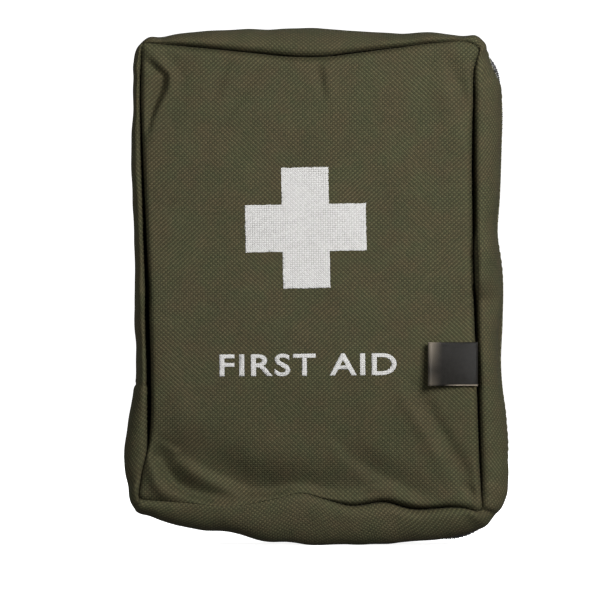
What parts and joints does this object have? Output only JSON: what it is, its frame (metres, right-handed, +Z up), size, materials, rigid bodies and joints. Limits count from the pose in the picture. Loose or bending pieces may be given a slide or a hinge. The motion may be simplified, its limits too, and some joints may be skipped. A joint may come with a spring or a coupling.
{
  "type": "first aid kit",
  "caption": "Soft olive zip pouch that opens like a book on a fabric hinge, with elastic loops, a mesh pocket, dressings, scissors and tweezers inside and belt straps behind",
  "frame": {"origin": "Centre of the pouch's bounding box in X and Y, at the lowest point of its base, when closed and standing up", "axes": "+X across the pouch to the viewer's right, +Y from the printed front to the back, +Z up"},
  "size_m": [0.1382, 0.0723, 0.19],
  "materials": {
    "shell_fabric": "olive drab coarse oxford weave, dry and matte",
    "lining_fabric": "olive lining cloth, finer weave",
    "binding_tape": "black grosgrain binding",
    "print_ink": "white screen print ink that follows the weave",
    "tag_satin": "charcoal satin ribbon",
    "zip_tape": "black herringbone zip tape",
    "zip_coil": "black nylon coil",
    "black_metal": "black enamelled zinc",
    "webbing": "olive woven webbing",
    "elastic": "black ribbed elastic",
    "mesh": "black polyester mesh",
    "crepe": "beige crepe bandage",
    "gauze": "white gauze",
    "cloth_tape": "white zinc oxide cloth tape",
    "white_plastic": "white moulded plastic",
    "dressing_wrap": "pale green wrapper",
    "folded_cotton": "unbleached cotton",
    "leaflet_paper": "folded printed paper",
    "paper_pack": "sealed medical paper",
    "clear_pack": "thin film over blue gloves",
    "foil": "crinkled foil",
    "steel": "satin stainless steel"
  },
  "bodies": {
    "root": {"rear_panel": "shell_fabric", "rear_gusset": "shell_fabric", "rear_seam_binding": "binding_tape", "zip_tape_rear": "zip_tape", "zip_coil_rear": "zip_coil", "zip_stops_rear": "zip_coil", "hinge_strip": "shell_fabric", "organizer_panel": "lining_fabric", "crepe_bandage_large": "crepe", "crepe_bandage_small": "crepe", "gauze_roll_large": "gauze", "gauze_roll_small": "gauze", "tape_spool": "white_plastic", "adhesive_tape": "cloth_tape", "roll_elastic_lower": "elastic", "roll_elastic_upper": "elastic", "field_dressing": "dressing_wrap", "triangular_bandage": "folded_cotton", "rear_webbing_upper": "webbing", "rear_webbing_lower": "webbing", "snap_studs": "black_metal", "strap_anchors": "webbing"},
    "cover": {"front_panel": "shell_fabric", "front_gusset": "shell_fabric", "front_seam_binding": "binding_tape", "cross_print": "print_ink", "zip_tape_front": "zip_tape", "zip_coil_front": "zip_coil", "zip_stops_front": "zip_coil", "mesh_pocket": "mesh", "mesh_pocket_binding": "binding_tape", "instruction_leaflet": "leaflet_paper", "compress_packs": "paper_pack", "plaster_strips": "paper_pack", "glove_pack": "clear_pack", "rescue_blanket_pack": "foil", "alcohol_wipes": "foil", "wipe_band": "elastic", "scissors_half_fixed": "steel", "scissors_rivet": "steel", "scissors_keeper": "elastic", "tweezers_arm_fixed": "steel", "tweezers_keeper": "elastic"},
    "scissors_half": {"scissors_half_moving": "steel"},
    "tweezers_arm": {"tweezers_arm_moving": "steel"},
    "tag": {"side_tag": "tag_satin"},
    "strap_left": {"belt_strap_left": "webbing", "snap_cap_left": "black_metal"},
    "strap_right": {"belt_strap_right": "webbing", "snap_cap_right": "black_metal"},
    "slider_left": {"zip_slider_left": "black_metal"},
    "pull_left": {"zip_pull_left": "black_metal"},
    "slider_right": {"zip_slider_right": "black_metal"},
    "pull_right": {"zip_pull_right": "black_metal"}
  },
  "joints": [
    {"name": "cover_hinge", "type": "hinge", "parent": "root", "child": "cover", "pos_m": [-0.0694, 0, 0.1055], "axis": [0, 0, -1], "range_deg": [0, 180]},
    {"name": "slider_left_slide", "type": "slide", "parent": "root", "child": "slider_left", "axis": [-1, 0, 0], "range_m": [0, 0.036]},
    {"name": "slider_right_slide", "type": "slide", "parent": "root", "child": "slider_right", "axis": [1, 0, 0], "range_m": [0, 0.036]},
    {"name": "pull_left_flip", "type": "hinge", "parent": "slider_left", "child": "pull_left", "pos_m": [-0.0075, 0, 0.1883], "axis": [0, 1, 0], "range_deg": [0, 120]},
    {"name": "pull_right_flip", "type": "hinge", "parent": "slider_right", "child": "pull_right", "pos_m": [0.0075, 0, 0.1883], "axis": [0, -1, 0], "range_deg": [0, 120]},
    {"name": "tag_flap", "type": "hinge", "parent": "cover", "child": "tag", "pos_m": [0.0589, -0.0352, 0.06585], "axis": [0, 0, 1], "range_deg": [0, 170]},
    {"name": "strap_left_flap", "type": "hinge", "parent": "root", "child": "strap_left", "pos_m": [-0.024, 0.03, 0.1502], "axis": [1, 0, 0], "range_deg": [0, 120]},
    {"name": "strap_right_flap", "type": "hinge", "parent": "root", "child": "strap_right", "pos_m": [0.024, 0.03, 0.1502], "axis": [1, 0, 0], "range_deg": [0, 120]},
    {"name": "scissors_pivot", "type": "hinge", "parent": "cover", "child": "scissors_half", "pos_m": [0.002, -0.03, 0.134], "axis": [0, 1, 0], "range_deg": [0, 50]},
    {"name": "tweezers_squeeze", "type": "hinge", "parent": "cover", "child": "tweezers_arm", "pos_m": [-0.049, -0.0314, 0.172], "axis": [-1, 0, 0], "range_deg": [0, 5.2], "stiffness_Nm_per_rad": 0.02}
  ]
}
